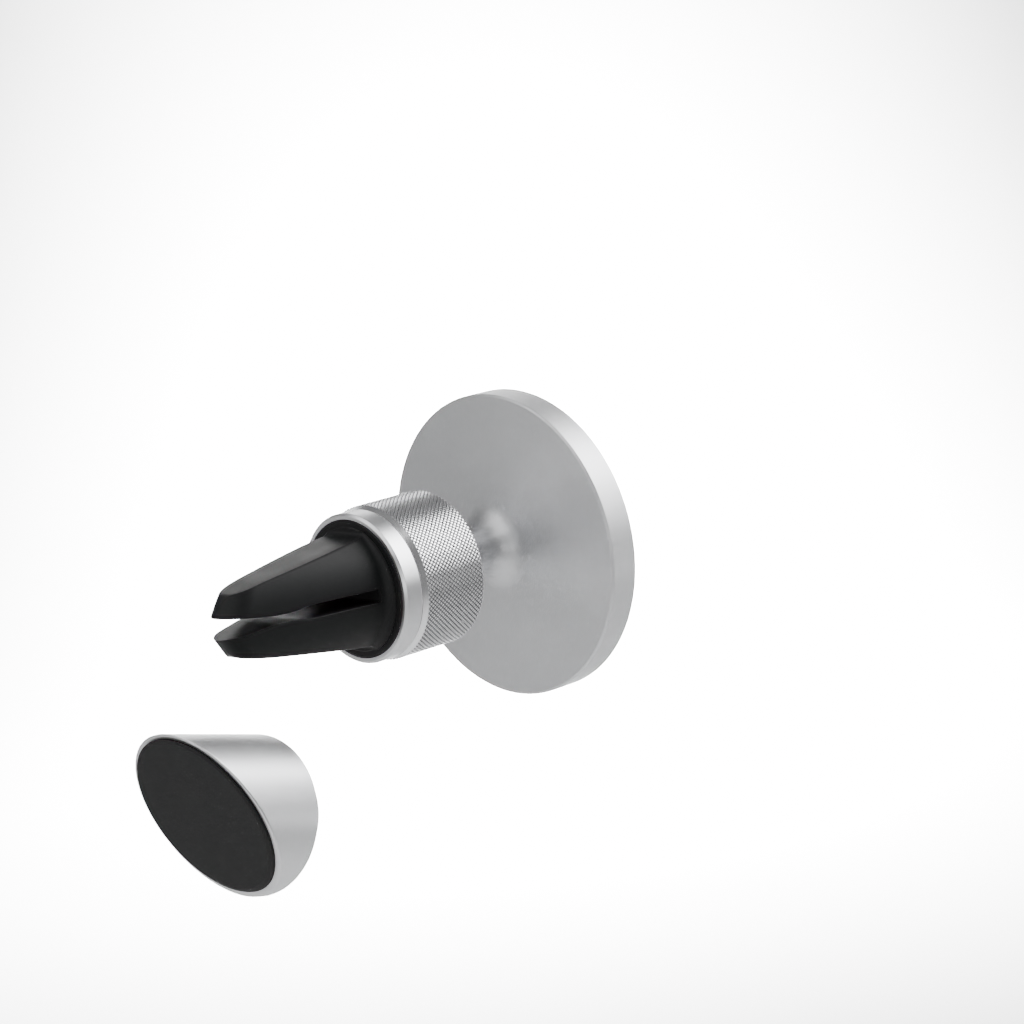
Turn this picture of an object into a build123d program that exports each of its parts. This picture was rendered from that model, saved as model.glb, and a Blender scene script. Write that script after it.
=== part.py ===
from build123d import *

import math
import os

# Car phone mount: a magnetic head on a ball joint, a vent clip, and a loose dash base for the same collar.
# Millimetres. The origin is the centre of the face that the phone rests on. +Y points out of that face
# towards the phone, the clip points along -Y into the vent, and +Z is up. Depths below are distances
# behind the phone face, along -Y.

# ---- driving dimensions -------------------------------------------------------------------------------

FIT = 0.05            # radial gap of a part that seats or turns in its own bore
GAP = 0.10            # gap between a moving part and the one beside it

# head disc
HEAD_R = 28.75
PAD_PROUD = 0.3       # the face pad stands this far out of the rim
RIM_THICKNESS = 6.0
RIM_CHAMFER = 0.35
LIP_WIDTH = 0.9       # aluminium lip round the face pad
BACK_SLOPE = 4.5      # degrees, the shallow cone of the disc's back
FLARE_R = 5.0         # concave radius where the back runs into the stem
STEM_R = 4.0
NECK_R = 3.0          # the stem is thinner inside the collar, so that it can tilt
NECK_TAPER = 0.8
PAD_THICKNESS = 0.9
ADHESIVE_THICKNESS = 0.1
MAGNET_COUNT = 16
MAGNET_OUTER_R = 26.5
MAGNET_INNER_R = 22.5
MAGNET_THICKNESS = 2.0
MAGNET_RIB = 0.5      # carrier rib between two magnets
PLATE_THICKNESS = 1.0

# ball joint
BALL_R = 6.5
BALL_FLAT_R = 3.3     # flat on the ball where the stem is screwed on
BALL_SCREW_R = 2.0
BALL_SCREW_BITE = 5.5
BALL_SCREW_HEAD_R = 3.5
BALL_SCREW_HEAD = 1.5
BALL_WASHER = 0.6
TILT = 25.0           # degrees, either way
TILT_CLEARANCE = 0.44  # between the tilted stem and the loosened collar
THROAT_CLEARANCE = 0.2 # between the ball and the collar's throat
LINER_ANGLE = 58.7    # degrees from the stem to the liner's edge, seen from the ball's centre
CUP_WALL = 2.1
CUP_BACK = 1.8        # the cup's back, behind the flange face
CUP_RIM = 0.4         # the cup's rim, behind the ball's centre
CUP_FLOOR = 0.6
CUSHION_THICKNESS = 0.5
CUSHION_HOLE_R = 2.0

# collar and threaded neck
COLLAR_R = 14.28      # over the knurl's tips
COLLAR_LENGTH = 14.8
COLLAR_END_R = 13.6
COLLAR_CHAMFER = 1.0
COLLAR_BACK_CHAMFER = 0.5
NECK_WALL = 1.85      # socket wall under the thread
THREAD_FIT = 0.08
THREAD_PITCH = 1.0
NECK_LENGTH = 4.2

# front ring and socket insert
RING_R = 13.77
RING_LENGTH = 3.95
RING_WALL = 1.07
RING_CHAMFER = 0.45
COLLAR_DEPTH = 24.4   # the collar's edge on the head's side
RING_GAP = 0.15       # between the tightened collar and the ring
SPIGOT_WALL = 0.95
SPIGOT_FLOOR = 0.6
BOSS_WALL = 0.5       # insert wall outside the screw heads
SCREW_COUNT = 3
SCREW_RING_R = 5.5
SCREW_R = 0.8
SCREW_HEAD_R = 1.6
SCREW_HEAD = 0.9
INSERT_FLOOR = 1.8

# fork
CAP_PROUD = 0.3       # the black cap's face, past the ring
ROOT_LENGTH = 1.9     # solid root between the cap's face and the end of the slot
JAW_LENGTH = 29.5
FORK_SIDE_R = 12.0    # radius of the jaws' rounded sides, seen from the end
FORK_HALF_WIDTH = 9.9
FORK_TAPER = 0.202    # loss of half width per mm towards the tip
FORK_HALF_HEIGHT = 9.95
NOSE_R = 4.75
NOSE_LEAN = 0.71      # how far the nose falls back per mm of height
WAIST = 4.5           # bends in the jaws' outer line, from the end of the slot
SHOULDER = 21.4
WAIST_DROP = 0.8      # fall of the outer line at each bend
SHOULDER_DROP = 3.28
END_DROP = 4.9
SLOT_STRAIGHT = 13.5  # bends in the slot's line, from its end
BUMP_START = 16.5
BUMP_END = 20.5
SLOT_HALF = 1.15
BUMP_HALF = 0.72
MOUTH_HALF = 1.9
CORE_THICKNESS = 1.2
CORE_WIDTH = 5.0
CORE_LENGTH = 18.0
CORE_COVER = 1.6      # rubber between the core and the slot

# dash base
DASH_WALL = 0.88      # between the socket's pocket and the pad's recess, where it is thinnest
DASH_SLANT = 38.6     # degrees between the pad's face and a square cut
DASH_PAD_THICKNESS = 1.4
DASH_PAD_RECESS = 0.9
DASH_TAPE = 0.2
DASH_LIP = 0.9        # aluminium edge left round the pad
DASH_CENTRE = (9.4, -78.7, -30.8)
DASH_YAW = 8.5        # degrees about +Z from the clip's own direction
DASH_PITCH = 15.5     # degrees that the pad's end points up


# ---- worked out from them -----------------------------------------------------------------------------

RIM_FRONT = PAD_PROUD
RIM_BACK = RIM_FRONT + RIM_THICKNESS
PAD_R = HEAD_R - LIP_WIDTH - FIT
MAGNET_FRONT = PAD_THICKNESS + ADHESIVE_THICKNESS
PLATE_FRONT = MAGNET_FRONT + MAGNET_THICKNESS
POCKET_FLOOR = PLATE_FRONT + PLATE_THICKNESS

COLLAR_END = COLLAR_DEPTH + COLLAR_LENGTH
FLANGE_DEPTH = COLLAR_END + RING_GAP
RING_END = FLANGE_DEPTH + RING_LENGTH
CAP_DEPTH = RING_END + CAP_PROUD
CAP_R = RING_R - RING_WALL - FIT
SLOT_ROOT = CAP_DEPTH + ROOT_LENGTH
FORK_TIP = SLOT_ROOT + JAW_LENGTH

BALL_SEAT_R = BALL_R + FIT
BALL_DEPTH = FLANGE_DEPTH + CUP_BACK - CUP_FLOOR - BALL_SEAT_R
STEM_END = BALL_DEPTH - math.sqrt(BALL_R ** 2 - BALL_FLAT_R ** 2)
NECK_START = COLLAR_DEPTH - 2 * NECK_TAPER
CUP_R = BALL_R + CUP_WALL
THREAD_R = CUP_R + FIT + NECK_WALL
LINER_R = THREAD_R - 2 * FIT
LINER_START = BALL_SEAT_R * math.cos(math.radians(LINER_ANGLE))

# the collar's bore clears the tilted stem with the collar loosened, and its throat clears the ball too
TILT_RAD = math.radians(TILT)
THROAT_BALL_R = BALL_SEAT_R * math.sin(math.radians(LINER_ANGLE)) + THROAT_CLEARANCE
THROAT_STEM_R = ((LINER_START + THREAD_PITCH) * math.tan(TILT_RAD)
                 + NECK_R / math.cos(TILT_RAD) + TILT_CLEARANCE)
COLLAR_THROAT_R = max(THROAT_BALL_R, THROAT_STEM_R)
COLLAR_MOUTH_R = ((BALL_DEPTH - COLLAR_DEPTH + THREAD_PITCH) * math.tan(TILT_RAD)
                  + STEM_R / math.cos(TILT_RAD) + TILT_CLEARANCE)

INSERT_FLOOR_TOP = CUP_BACK + CUSHION_THICKNESS
INSERT_END = INSERT_FLOOR_TOP + INSERT_FLOOR
SPIGOT_R = CUP_R + FIT + SPIGOT_WALL
SPIGOT_LENGTH = INSERT_FLOOR_TOP + SPIGOT_FLOOR
BOSS_R = SCREW_RING_R + SCREW_HEAD_R + BOSS_WALL
SCREW_END = SLOT_ROOT - FLANGE_DEPTH - 3 * GAP

DASH_SLOPE = math.tan(math.radians(DASH_SLANT))
DASH_SQUARE = math.cos(math.radians(DASH_SLANT))
DASH_LENGTH = SPIGOT_LENGTH + DASH_WALL + DASH_PAD_RECESS / DASH_SQUARE + DASH_SLOPE * SPIGOT_R


# ---- helpers ------------------------------------------------------------------------------------------

def turned(outline):
    """Solid turned about the mount's axis from (radius, depth) points."""
    points = [(radius, -depth) for radius, depth in outline]
    face = make_face(Polyline(*points, close=True))
    return revolve(face, Axis.Y, 360)


def rod(radius, start, end, x=0.0, z=0.0):
    """Round bar along the mount's axis between two depths."""
    profile = Plane((x, -start, z), x_dir=(1, 0, 0), z_dir=(0, -1, 0)) * Circle(radius)
    return extrude(profile, end - start)


def tube(outer, inner, start, end):
    """Plain ring about the mount's axis."""
    return turned([(inner, start), (outer, start), (outer, end), (inner, end)])


def ball_at(radius, depth):
    return Location((0, -depth, 0)) * Sphere(radius)


def screw_places():
    """The socket screws' places round the axis, as (x, z)."""
    step = 360 / SCREW_COUNT
    angles = [math.radians(90 + step * number) for number in range(SCREW_COUNT)]
    return [(SCREW_RING_R * math.cos(angle), SCREW_RING_R * math.sin(angle)) for angle in angles]


def single(shape):
    """The one solid that a cut leaves."""
    return shape.solids()[0]


def save(name, shape, colour):
    shape.label = name
    shape.color = Color(*colour)
    export_step(shape, os.path.join("parts", name + ".step"))


# ---- head ---------------------------------------------------------------------------------------------

def head_shell():
    """Aluminium disc, shallow trumpet back and stem in one turned piece, hollow from the phone's side."""
    slope = math.tan(math.radians(BACK_SLOPE))
    flare_angle = math.radians(90 - BACK_SLOPE)
    centre_r = STEM_R + FLARE_R
    flat_r = centre_r - FLARE_R * math.sin(math.radians(BACK_SLOPE))
    back_depth = RIM_BACK + (HEAD_R - RIM_CHAMFER - flat_r) * slope
    centre_depth = back_depth + FLARE_R * math.cos(math.radians(BACK_SLOPE))
    middle = flare_angle / 2
    arc_middle = (centre_r - FLARE_R * math.cos(middle), -(centre_depth - FLARE_R * math.sin(middle)))
    edge = Polyline(
        (0, -RIM_FRONT),
        (HEAD_R, -RIM_FRONT),
        (HEAD_R, -(RIM_BACK - RIM_CHAMFER)),
        (HEAD_R - RIM_CHAMFER, -RIM_BACK),
        (flat_r, -back_depth),
    )
    flare = ThreePointArc((flat_r, -back_depth), arc_middle, (STEM_R, -centre_depth))
    stem = Polyline(
        (STEM_R, -centre_depth),
        (STEM_R, -(NECK_START - NECK_TAPER)),
        (NECK_R, -NECK_START),
        (NECK_R, -STEM_END),
        (0, -STEM_END),
        (0, -RIM_FRONT),
    )
    shell = revolve(make_face([edge, flare, stem]), Axis.Y, 360)
    shell -= rod(PAD_R + FIT, 0, POCKET_FLOOR)
    shell -= rod(BALL_SCREW_R + FIT, 0, BALL_DEPTH)
    shell -= rod(BALL_SCREW_HEAD_R + FIT, 0, washer_depth() + BALL_WASHER)
    return single(shell)


def washer_depth():
    return POCKET_FLOOR + BALL_SCREW_HEAD + GAP


def magnet(number):
    """One arc magnet of the ring."""
    step = 360 / MAGNET_COUNT
    half = step / 2 - math.degrees(MAGNET_RIB / 2 / MAGNET_INNER_R)
    return arc_block(MAGNET_INNER_R, MAGNET_OUTER_R, half, step * number)


def arc_block(inner, outer, half_angle, angle):
    """Arc-shaped block as deep as a magnet, centred on an angle about the axis."""
    def spot(radius, degrees):
        turn = math.radians(degrees)
        return (radius * math.cos(turn), radius * math.sin(turn))

    low, high = angle - half_angle, angle + half_angle
    outline = [
        ThreePointArc(spot(outer, low), spot(outer, angle), spot(outer, high)),
        Line(spot(outer, high), spot(inner, high)),
        ThreePointArc(spot(inner, high), spot(inner, angle), spot(inner, low)),
        Line(spot(inner, low), spot(outer, low)),
    ]
    place = Plane((0, -MAGNET_FRONT, 0), x_dir=(1, 0, 0), z_dir=(0, -1, 0))
    return single(extrude(place * make_face(outline), MAGNET_THICKNESS))


def magnet_carrier():
    """Plastic disc with one pocket for each magnet."""
    carrier = rod(PAD_R, MAGNET_FRONT, PLATE_FRONT)
    step = 360 / MAGNET_COUNT
    half = step / 2 - math.degrees((MAGNET_RIB / 2 - FIT) / MAGNET_INNER_R)
    for number in range(MAGNET_COUNT):
        carrier -= arc_block(MAGNET_INNER_R - FIT, MAGNET_OUTER_R + FIT, half, step * number)
    return single(carrier)


def ball_screw():
    """Pan-head screw that pulls the ball onto the stem."""
    start = POCKET_FLOOR + GAP
    screw = rod(BALL_SCREW_HEAD_R, start, start + BALL_SCREW_HEAD)
    screw += rod(BALL_SCREW_R, start, STEM_END + BALL_SCREW_BITE - 2 * GAP)
    return single(screw)


def ball():
    """Steel ball with a flat and a blind screw hole where the stem meets it."""
    shape = ball_at(BALL_R, BALL_DEPTH) - rod(BALL_R, 0, STEM_END + FIT)
    shape -= rod(BALL_SCREW_R + FIT, 0, STEM_END + BALL_SCREW_BITE)
    return single(shape)


# ---- collar -------------------------------------------------------------------------------------------

def knurled_collar():
    """Clamping nut: flared mouth for the tilting stem, plain bore over the neck's thread."""
    throat_depth = BALL_DEPTH - LINER_START
    bore = THREAD_R + THREAD_FIT
    return turned([
        (COLLAR_MOUTH_R, COLLAR_DEPTH),
        (COLLAR_R - COLLAR_BACK_CHAMFER, COLLAR_DEPTH),
        (COLLAR_R, COLLAR_DEPTH + COLLAR_BACK_CHAMFER),
        (COLLAR_R, COLLAR_END - COLLAR_CHAMFER),
        (COLLAR_END_R, COLLAR_END),
        (bore, COLLAR_END),
        (bore, throat_depth),
        (COLLAR_THROAT_R, throat_depth),
    ])


def collar_liner():
    """Nylon friction ring that the collar presses onto the ball."""
    ring = tube(LINER_R, NECK_R, BALL_DEPTH - LINER_START + FIT, BALL_DEPTH - GAP)
    return single(ring - ball_at(BALL_SEAT_R, BALL_DEPTH))


# ---- socket, the same in the clip and in the dash base ------------------------------------------------

def socket_insert():
    """Moulded insert: threaded neck, pocket for the seat cup and a floor for the screws."""
    insert = turned([
        (CUP_R + FIT, FLANGE_DEPTH - NECK_LENGTH),
        (THREAD_R, FLANGE_DEPTH - NECK_LENGTH),
        (THREAD_R, FLANGE_DEPTH),
        (SPIGOT_R, FLANGE_DEPTH),
        (SPIGOT_R, FLANGE_DEPTH + SPIGOT_LENGTH),
        (BOSS_R, FLANGE_DEPTH + SPIGOT_LENGTH),
        (BOSS_R, FLANGE_DEPTH + INSERT_END),
        (0, FLANGE_DEPTH + INSERT_END),
        (0, FLANGE_DEPTH + INSERT_FLOOR_TOP),
        (CUP_R + FIT, FLANGE_DEPTH + INSERT_FLOOR_TOP),
    ])
    floor = FLANGE_DEPTH + INSERT_FLOOR_TOP
    for x, z in screw_places():
        insert -= rod(SCREW_HEAD_R + FIT, floor - GAP, floor + SCREW_HEAD + FIT, x, z)
        insert -= rod(SCREW_R + FIT, floor, FLANGE_DEPTH + INSERT_END + GAP, x, z)
    return single(insert)


def socket_room():
    """The space that the insert and its screws take in whatever holds them."""
    room = rod(SPIGOT_R + FIT, FLANGE_DEPTH - GAP, FLANGE_DEPTH + SPIGOT_LENGTH + FIT)
    room += rod(BOSS_R + FIT, FLANGE_DEPTH, FLANGE_DEPTH + INSERT_END + FIT)
    for x, z in screw_places():
        room += rod(SCREW_R + FIT, FLANGE_DEPTH, FLANGE_DEPTH + SCREW_END + FIT, x, z)
    return room


def socket_screws():
    """The screws that hold the insert, heads sunk in its floor."""
    floor = FLANGE_DEPTH + INSERT_FLOOR_TOP
    screws = []
    for x, z in screw_places():
        screw = rod(SCREW_HEAD_R, floor + FIT, floor + SCREW_HEAD, x, z)
        screw += rod(SCREW_R, floor + FIT, FLANGE_DEPTH + SCREW_END, x, z)
        screws.append(single(screw))
    return Compound(children=screws)


def seat_cup():
    """Hard plastic cup that the ball turns in."""
    cup = rod(CUP_R, BALL_DEPTH + CUP_RIM, FLANGE_DEPTH + CUP_BACK)
    return single(cup - ball_at(BALL_SEAT_R, BALL_DEPTH))


def cup_cushion():
    """Rubber washer under the seat cup that takes up wear."""
    return tube(CUP_R - FIT, CUSHION_HOLE_R, FLANGE_DEPTH + CUP_BACK, FLANGE_DEPTH + INSERT_FLOOR_TOP)


# ---- vent clip ----------------------------------------------------------------------------------------

def front_ring():
    """Turned aluminium trim ring round the clip's cap."""
    inner = RING_R - RING_WALL
    return turned([
        (inner, FLANGE_DEPTH),
        (RING_R, FLANGE_DEPTH),
        (RING_R, RING_END - RING_CHAMFER),
        (RING_R - RING_CHAMFER, RING_END),
        (inner, RING_END),
    ])


def fork_envelope():
    """The fork's outside, root to nose: two leaning rounded sides, tapered top and a rounded nose."""
    length = FORK_TIP - CAP_DEPTH
    lean = FORK_TAPER * length
    side_centre = FORK_SIDE_R - FORK_HALF_WIDTH
    start = Plane((0, -CAP_DEPTH, 0), x_dir=(1, 0, 0), z_dir=(0, -1, 0))
    end = start.offset(length)
    sides = []
    for way in (1, -1):
        near = start * Location((-way * side_centre, 0)) * Circle(FORK_SIDE_R)
        far = end * Location((-way * (side_centre + lean), 0)) * Circle(FORK_SIDE_R)
        sides.append(loft([near, far]))
    top = FORK_HALF_HEIGHT
    waist = top - WAIST_DROP
    shoulder = top - SHOULDER_DROP
    end_height = top - END_DROP
    outline = Polyline(
        (-CAP_DEPTH, 0), (-CAP_DEPTH, top), (-(SLOT_ROOT + WAIST), waist),
        (-(SLOT_ROOT + SHOULDER), shoulder), (-FORK_TIP, end_height), (-FORK_TIP, 0), close=True)
    upper = extrude(Plane.YZ * make_face(outline), FORK_HALF_WIDTH * 2, both=True)
    upper &= nose_room(top)
    return sides[0] & sides[1] & (upper + mirror(upper, Plane.XY))


def nose_room(top):
    """Everything behind the upper jaw's leaning round nose."""
    centre = FORK_TIP + NOSE_LEAN * MOUTH_HALF - NOSE_R
    fall = NOSE_LEAN * top
    near = Location((0, -centre, 0)) * Circle(NOSE_R)
    far = Location((0, -(centre - fall), top)) * Circle(NOSE_R)
    outline = Polyline((0, 0), (-centre, 0), (-(centre - fall), top), (0, top), close=True)
    behind = extrude(Plane.YZ * make_face(outline), 2 * FORK_HALF_WIDTH, both=True)
    tip_stop = Location((0, -FORK_TIP / 2, 0)) * Box(4 * FORK_HALF_WIDTH, FORK_TIP, 3 * top)
    return (loft([near, far]) + behind) & tip_stop


def slot_room():
    """The gap between the jaws: straight, a gripping bump, then a flared mouth."""
    upper = [
        (-(SLOT_ROOT - GAP), SLOT_HALF),
        (-(SLOT_ROOT + SLOT_STRAIGHT), SLOT_HALF),
        (-(SLOT_ROOT + BUMP_START), BUMP_HALF),
        (-(SLOT_ROOT + BUMP_END), BUMP_HALF),
        (-(FORK_TIP + GAP), MOUTH_HALF),
    ]
    lower = [(y, -z) for y, z in reversed(upper)]
    face = make_face(Polyline(*upper, *lower, close=True))
    return extrude(Plane.YZ * face, 2 * FORK_HALF_WIDTH, both=True)


def fork_root():
    """Black clip body: round cap inside the ring and the root that both jaws spring from."""
    block_end = SLOT_ROOT - GAP
    root = rod(CAP_R, FLANGE_DEPTH, CAP_DEPTH)
    front = Location((0, -(CAP_DEPTH + block_end) / 2, 0)) * Box(
        3 * FORK_HALF_WIDTH, block_end - CAP_DEPTH, 3 * FORK_HALF_HEIGHT)
    root += fork_envelope() & front
    return single(root - socket_room())


def jaw_core(way):
    """Spring-steel strip inside a jaw: way is 1 for the upper jaw and -1 for the lower."""
    height = SLOT_HALF + CORE_COVER + CORE_THICKNESS / 2
    middle = SLOT_ROOT + CORE_COVER + CORE_LENGTH / 2
    return single(Location((0, -middle, way * height)) * Box(CORE_WIDTH, CORE_LENGTH, CORE_THICKNESS))


def jaw(way):
    """Rubber-covered jaw of the fork: way is 1 for the upper jaw and -1 for the lower."""
    length = FORK_TIP - SLOT_ROOT + GAP
    half = Location((0, -(SLOT_ROOT + length / 2), way * FORK_HALF_HEIGHT)) * Box(
        3 * FORK_HALF_WIDTH, length, 2 * FORK_HALF_HEIGHT)
    shape = (fork_envelope() & half) - slot_room() - jaw_core(way)
    return single(shape)


# ---- dash base ----------------------------------------------------------------------------------------

def dash_place():
    """Moves a piece from the clip's socket to the loose dash base's place and angle."""
    yaw = Location((0, 0, 0), (0, 0, DASH_YAW))
    pitch = Location((0, 0, 0), (-DASH_PITCH, 0, 0))
    return Location(DASH_CENTRE) * yaw * pitch * Location((0, FLANGE_DEPTH, 0))


def above_slant(depth):
    """Everything past the slanted plane that cuts the dash base, moved in along the axis by depth."""
    reach = 4 * RING_R
    cut = Plane((0, -(FLANGE_DEPTH + DASH_LENGTH - depth), 0), x_dir=(1, 0, 0),
                z_dir=(0, -1, -DASH_SLOPE))
    return extrude(cut * Rectangle(reach, reach), reach)


def slant_slab(radius, near, far):
    """Slice of a round bar between two slanted planes, measured square to them from the cut face."""
    bar = rod(radius, FLANGE_DEPTH, FLANGE_DEPTH + 3 * DASH_LENGTH)
    return (bar - above_slant(near / DASH_SQUARE)) & above_slant(far / DASH_SQUARE)


def dash_base_shell():
    """Aluminium wedge: round bar cut on the slant, recessed for the pad and bored for the socket."""
    shell = rod(RING_R, FLANGE_DEPTH, FLANGE_DEPTH + 3 * DASH_LENGTH) - above_slant(0)
    recess = slant_slab(RING_R - DASH_LIP, -RING_R, DASH_PAD_RECESS)
    return single(shell - recess - socket_room())


def dash_pad():
    """Black foam mounting pad that stands proud of the wedge's edge."""
    top = DASH_PAD_RECESS - DASH_TAPE - DASH_PAD_THICKNESS
    return single(slant_slab(RING_R - DASH_LIP - FIT, top, DASH_PAD_RECESS - DASH_TAPE))


def dash_pad_tape():
    """Adhesive film between the pad and the wedge."""
    return single(slant_slab(RING_R - DASH_LIP - FIT, DASH_PAD_RECESS - DASH_TAPE, DASH_PAD_RECESS))


# ---- write every node ---------------------------------------------------------------------------------

ALUMINIUM = (0.72, 0.73, 0.75)
BLACK = (0.04, 0.04, 0.045)
STEEL = (0.55, 0.56, 0.58)
MAGNET = (0.45, 0.45, 0.47)
NYLON = (0.75, 0.74, 0.70)
TAPE = (0.8, 0.8, 0.78)


def main():
    os.makedirs("parts", exist_ok=True)

    save("head_shell", head_shell(), ALUMINIUM)
    save("face_pad", rod(PAD_R, 0, PAD_THICKNESS), BLACK)
    save("pad_adhesive", rod(PAD_R, PAD_THICKNESS, MAGNET_FRONT), TAPE)
    save("magnet_carrier", magnet_carrier(), NYLON)
    for number in range(MAGNET_COUNT):
        save(f"magnet_{number + 1:02d}", magnet(number), MAGNET)
    save("back_plate", rod(PAD_R, PLATE_FRONT, POCKET_FLOOR), STEEL)
    save("ball_screw", ball_screw(), STEEL)
    washer = tube(BALL_SCREW_HEAD_R, BALL_SCREW_R + FIT, washer_depth(), washer_depth() + BALL_WASHER)
    save("ball_screw_washer", washer, STEEL)
    save("ball", ball(), STEEL)

    save("collar_liner", collar_liner(), NYLON)
    save("knurled_collar", knurled_collar(), ALUMINIUM)

    save("seat_cup", seat_cup(), NYLON)
    save("cup_cushion", cup_cushion(), BLACK)
    save("socket_insert", socket_insert(), BLACK)
    save("socket_screws", socket_screws(), STEEL)
    save("front_ring", front_ring(), ALUMINIUM)
    save("fork_root", fork_root(), BLACK)
    for name, way in (("upper_jaw", 1), ("lower_jaw", -1)):
        save(name, jaw(way), BLACK)
        save(name + "_core", jaw_core(way), STEEL)

    place = dash_place()
    save("dash_base_shell", place * dash_base_shell(), ALUMINIUM)
    save("dash_pad", place * dash_pad(), BLACK)
    save("dash_pad_tape", place * dash_pad_tape(), TAPE)
    save("dash_socket_insert", place * socket_insert(), BLACK)
    save("dash_screws", place * socket_screws(), STEEL)
    save("dash_seat_cup", place * seat_cup(), NYLON)
    save("dash_cushion", place * cup_cushion(), BLACK)


main()
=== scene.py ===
import math

import bmesh
import bpy
from mathutils import Matrix, Vector


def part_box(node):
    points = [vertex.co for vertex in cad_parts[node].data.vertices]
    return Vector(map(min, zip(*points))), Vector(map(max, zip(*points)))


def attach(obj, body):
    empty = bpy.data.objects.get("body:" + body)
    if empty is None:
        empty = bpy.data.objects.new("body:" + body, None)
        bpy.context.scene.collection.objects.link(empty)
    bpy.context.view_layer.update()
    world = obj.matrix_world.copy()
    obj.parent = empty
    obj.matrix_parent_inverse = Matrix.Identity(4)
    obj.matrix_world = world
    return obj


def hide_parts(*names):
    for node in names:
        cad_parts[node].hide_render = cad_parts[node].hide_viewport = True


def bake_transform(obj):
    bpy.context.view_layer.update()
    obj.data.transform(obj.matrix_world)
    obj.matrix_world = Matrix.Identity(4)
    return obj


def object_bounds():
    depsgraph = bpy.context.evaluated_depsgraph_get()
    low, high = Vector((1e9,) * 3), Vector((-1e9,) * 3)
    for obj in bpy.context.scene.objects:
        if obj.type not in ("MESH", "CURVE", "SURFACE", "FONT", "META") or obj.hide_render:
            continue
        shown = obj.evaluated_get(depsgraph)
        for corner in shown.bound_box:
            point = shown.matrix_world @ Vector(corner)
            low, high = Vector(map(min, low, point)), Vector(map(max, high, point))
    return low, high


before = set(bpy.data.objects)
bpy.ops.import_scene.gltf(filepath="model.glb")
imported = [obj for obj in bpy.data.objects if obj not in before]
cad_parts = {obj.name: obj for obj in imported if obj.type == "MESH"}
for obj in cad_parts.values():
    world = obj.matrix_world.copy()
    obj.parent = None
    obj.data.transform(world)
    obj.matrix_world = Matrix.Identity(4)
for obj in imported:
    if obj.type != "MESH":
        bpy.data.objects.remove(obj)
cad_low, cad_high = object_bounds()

MM = 0.001


# ---- Camera, floor and light ---------------------------------------------------------------------------
# The mount is seen from the vent side, a little above and to the right of the clip's own axis, with a
# long lens. A white paper sweep lies far below it and runs up behind. Soft lamps light the mount, and a
# narrow one lights only the paper behind it.

CAMERA_LENS = 102.7
CAMERA_FILM = 36.0
CAMERA_REACH = 50.0
CAMERA_SPOT = Vector((0.39174, -0.37424, 0.1032))
CAMERA_BACK = Vector((0.71383, -0.67738, 0.17778))
CAMERA_UP = Vector((-0.05103, 0.20288, 0.97787))
camera_data = bpy.data.cameras.new("camera")
camera_data.lens = CAMERA_LENS
camera_data.sensor_width = CAMERA_FILM
camera_data.clip_end = CAMERA_REACH
camera = bpy.data.objects.new("camera", camera_data)
bpy.context.collection.objects.link(camera)
back = CAMERA_BACK.normalized()
right = CAMERA_UP.cross(back).normalized()
place = Matrix((right, back.cross(right), back)).transposed().to_4x4()
place.translation = CAMERA_SPOT
camera.matrix_world = place
bpy.context.scene.camera = camera


class Field:
    """A shader value that can be added and multiplied, so that maths reads as maths."""

    def __init__(self, tree, socket):
        self.tree = tree
        self.socket = socket

    def math(self, operation, *others):
        node = self.tree.nodes.new("ShaderNodeMath")
        node.operation = operation
        for slot, value in enumerate((self,) + others):
            if isinstance(value, Field):
                self.tree.links.new(value.socket, node.inputs[slot])
            else:
                node.inputs[slot].default_value = value
        return Field(self.tree, node.outputs[0])

    def __add__(self, other):
        return self.math("ADD", other)

    def __mul__(self, other):
        return self.math("MULTIPLY", other)

    __radd__ = __add__
    __rmul__ = __mul__


class Paint:
    """One procedural material and its node tree."""

    # A colour mix keeps its factor and its two colours in these sockets.
    MIX_INPUTS = (0, 6, 7)
    MIX_OUTPUT = 2

    def __init__(self, name, **shader):
        self.material = bpy.data.materials.new(name)
        self.material.use_nodes = True
        self.tree = self.material.node_tree
        self.shader = self.tree.nodes["Principled BSDF"]
        for socket, value in shader.items():
            self.shader.inputs[socket.replace("_", " ")].default_value = value
        self.material.diffuse_color = self.shader.inputs["Base Color"].default_value

    def node(self, kind, output=0, settings=None, **inputs):
        made = self.tree.nodes.new(kind)
        for name, value in (settings or {}).items():
            setattr(made, name, value)
        for name, value in inputs.items():
            socket = made.inputs[name.replace("_", " ")]
            if isinstance(value, Field):
                self.tree.links.new(value.socket, socket)
            else:
                socket.default_value = value
        return Field(self.tree, made.outputs[output])

    def place(self, location=(0, 0, 0), rotation=(0, 0, 0)):
        """Object coordinates, moved and turned so that a pattern sits on its piece."""
        spot = self.node("ShaderNodeTexCoord", "Object")
        return self.node("ShaderNodeMapping", Vector=spot, Location=location, Rotation=rotation)

    def noise(self, spot, size, detail=3.0):
        """Soft cloud from 0 to 1 with patches of about the size given, in metres."""
        return self.node("ShaderNodeTexNoise", "Fac", Vector=spot, Scale=1 / size, Detail=detail)

    def between(self, amount, low, high):
        """Colour that runs from low to high."""
        mix = self.tree.nodes.new("ShaderNodeMix")
        mix.data_type = "RGBA"
        factor, start, end = (mix.inputs[number] for number in self.MIX_INPUTS)
        start.default_value = (*low, 1)
        end.default_value = (*high, 1)
        self.tree.links.new(amount.socket, factor)
        return Field(self.tree, mix.outputs[self.MIX_OUTPUT])

    def feed(self, socket, value):
        self.tree.links.new(value.socket, self.shader.inputs[socket])

    def bump(self, height, depth):
        """Surface relief: depth is the real height in metres of a full step."""
        self.feed("Normal", self.node("ShaderNodeBump", Height=height, Distance=depth))


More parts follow.
